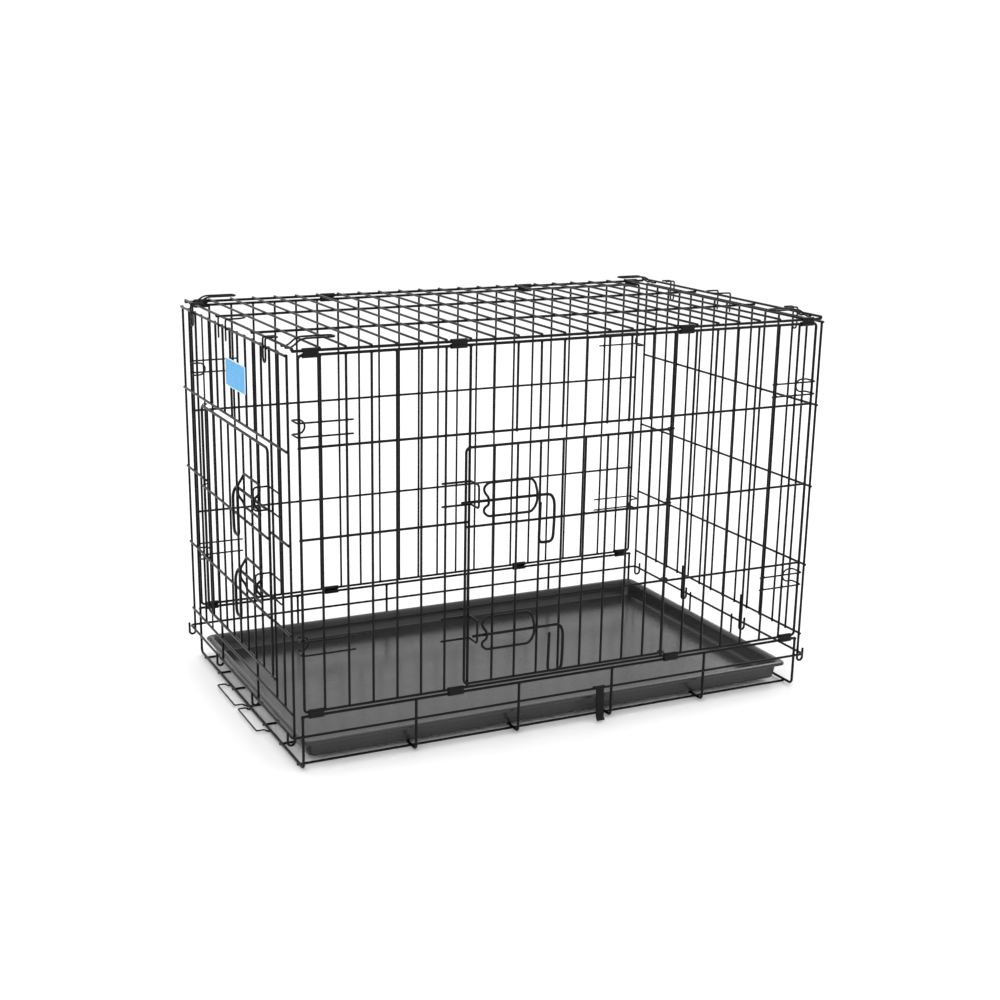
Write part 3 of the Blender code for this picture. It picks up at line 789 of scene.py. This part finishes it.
def tag():
    """A plain blue plate with a raised rim."""
    x = -391.35

    def ring(shape, inset, offset):
        pts = rounded_rectangle(-43.0 + inset, 43.0 - inset, -19.0 + inset, 19.0 - inset, max(3.2 - inset, 0.8), 5)
        return [shape.verts.new(metres((x - offset, -28.0 + u, 478.0 + v))) for u, v in pts]

    shape = bmesh.new()
    rows = [
        ring(shape, 0.25, -0.6),
        ring(shape, 0.0, -0.35),
        ring(shape, 0.0, 0.35),
        ring(shape, 0.25, 0.6),
        ring(shape, 1.2, 0.6),
        ring(shape, 1.5, 0.25),
        ring(shape, 6.0, 0.22),
    ]
    for one, two in zip(rows, rows[1:]):
        n = len(one)
        for k in range(n):
            shape.faces.new((one[k], one[(k + 1) % n], two[(k + 1) % n], two[k]))
    shape.faces.new(rows[0])
    shape.faces.new(rows[-1][::-1])
    bmesh.ops.recalc_face_normals(shape, faces=shape.faces)
    plate = mesh_object("tag_plate", shape, TAG, "left_end", ("tag",), 30.0)
    plate.data.materials.append(TAG_RIM_HIGHLIGHT)
    # The rim and edge faces get the lighter blue copy: a painted highlight where light catches the raised rim and
    # sides of the plain blue tag.
    for face in plate.data.polygons:
        far = max(abs(plate.data.vertices[v].co.y - (-28.0 + SHIFT_Y) * MM) for v in face.vertices)
        tall = max(abs(plate.data.vertices[v].co.z - 478.0 * MM) for v in face.vertices)
        if len(face.vertices) == 4 and (far > 0.0416 or tall > 0.0176):
            face.material_index = 1


def tray():
    """The moulded pan: a rounded floor step, drafted walls and a rolled lip."""
    loops = [
        (335.0, 185.0, 4.0, 8.8),
        (356.0, 206.0, 5.0, 8.7),
        (360.0, 210.0, 6.5, 8.8),
        (362.3, 212.3, 7.5, 9.3),
        (363.5, 213.5, 8.0, 10.9),
        (365.0, 215.0, 8.5, 20.0),
        (366.7, 216.7, 9.0, 29.8),
        (367.2, 217.2, 9.2, 31.6),
        (368.1, 218.1, 9.5, 32.8),
        (369.6, 219.6, 9.8, 33.2),
        (372.9, 222.9, 10.3, 33.2),
        (374.5, 224.5, 10.7, 32.9),
        (375.3, 225.3, 11.0, 31.9),
        (375.5, 225.5, 11.0, 30.2),
    ]
    shape = bmesh.new()
    rows = []
    for half_x, half_y, radius, z in loops:
        outline = rounded_rectangle(-half_x, half_x, -half_y, half_y, radius, 8)
        rows.append([shape.verts.new(metres((x, y, z))) for x, y in outline])
    shape.faces.new(rows[0])
    for one, two in zip(rows, rows[1:]):
        n = len(one)
        for k in range(n):
            shape.faces.new((one[k], one[(k + 1) % n], two[(k + 1) % n], two[k]))
    bmesh.ops.recalc_face_normals(shape, faces=shape.faces)
    obj = mesh_object("pan_shell", shape, PAN, "pan", ("tray",), 60.0)
    skin = obj.modifiers.new("thickness", "SOLIDIFY")
    skin.thickness = 0.002
    skin.offset = 0.0
    edge = obj.modifiers.new("edges", "BEVEL")
    edge.width = 0.0005
    edge.segments = 2
    edge.limit_method = "ANGLE"
    edge.angle_limit = math.radians(60)


base_frame()
front_panel()
back_panel()
top_panel()
end_panel("left_end", -1, True, "left_end", "left_end_panel")
end_panel("right_end", 1, False, "right_end", "right_end_panel")
doors()
latch("front_upper", on_front, 0.0, 0.0, -7.8, 1.5, "front_door", "front")
latch("front_lower", on_front, 18.0, 181.5, -7.8, 1.5, "front_door", "front")
latch("left_upper", on_left, 0.0, 0.0, -3.65, R_GRID, "left_door", "left_end")
latch("left_lower", on_left, 0.0, 113.5, -3.65, R_GRID, "left_door", "left_end")
for end_name, end_x in (("left", -1), ("right", 1)):
    end_body = end_name + "_end"
    for side_name, side_y in (("front", -1), ("back", 1)):
        y = side_y * HALF_DEPTH
        for place_name, clip_x, half in (("outer", 360.8, 10.0), ("inner", 166.0, 11.0)):
            stem = side_name + "_" + end_name + "_" + place_name
            low_z = (BASE_RAIL_Z + HINGE_LOW_Z) / 2
            high_z = (TOP_Z + HINGE_TOP_Z) / 2
            hinge_clip("strip_base_" + stem, end_x * clip_x, y, low_z, half, "base", "base_clip_" + stem)
            hinge_clip("strip_top_" + stem, end_x * clip_x, y, high_z, half, "top", "top_clip_" + stem)
        for level, high, low in (("upper", 454.5, 437.0), ("lower", 176.0, 158.0)):
            stem = side_name + "_" + end_name + "_" + level
            corner_hook("hairpin_" + stem, end_x, side_y, high, low, side_name, "corner_hook_" + stem)
        stem = end_name + "_" + side_name
        end_hook("end_hairpin_" + stem, end_x, side_y * 163.0, end_body, "end_hook_" + stem)
    end_tongue("tongue_wire_" + end_name, end_x, end_body, "end_tongue_" + end_name)
tray_bail("bail_wire_front", -95.0, -10.0, "front_bail", "tray_bail_front")
tray_bail("bail_wire_back", 5.0, 90.0, "back_bail", "tray_bail_back")
carry_clip()
tag()
tray()


# --- stage --------------------------------------------------------------------------------

shape = bmesh.new()
bmesh.ops.create_grid(shape, x_segments=1, y_segments=1, size=14.0)
floor_mesh = bpy.data.meshes.new("floor")
shape.to_mesh(floor_mesh)
shape.free()
floor = bpy.data.objects.new("floor", floor_mesh)
bpy.context.scene.collection.objects.link(floor)
floor_mat = bpy.data.materials.new("floor_white")
floor_mat.use_nodes = True
floor_shader = floor_mat.node_tree.nodes["Principled BSDF"]
floor_shader.inputs["Base Color"].default_value = (0.97, 0.97, 0.97, 1.0)
floor_shader.inputs["Roughness"].default_value = 0.75
floor_shader.inputs["Specular IOR Level"].default_value = 0.2
floor_mesh.materials.append(floor_mat)

world = bpy.data.worlds.new("studio")
bpy.context.scene.world = world
world.use_nodes = True
world.node_tree.nodes["Background"].inputs["Color"].default_value = (1.0, 1.0, 1.0, 1.0)
world.node_tree.nodes["Background"].inputs["Strength"].default_value = 1.06


def soft_light(name, place, aim, size, power):
    data = bpy.data.lights.new(name, "AREA")
    data.shape = "RECTANGLE"
    data.size, data.size_y = size
    data.energy = power
    obj = bpy.data.objects.new(name, data)
    bpy.context.scene.collection.objects.link(obj)
    obj.location = place
    obj.rotation_euler = (Vector(aim) - Vector(place)).to_track_quat("-Z", "Y").to_euler()


soft_light("key", (-1.6, -2.2, 2.6), (0, 0, 0.25), (1.6, 1.2), 20)
soft_light("top", (0.2, 0.2, 3.0), (0, 0, 0.2), (2.6, 2.0), 14)
soft_light("rim", (2.4, 1.8, 1.9), (0, 0, 0.25), (1.4, 1.4), 14)

bpy.context.scene.view_settings.view_transform = "Standard"
bpy.context.scene.view_settings.look = "None"
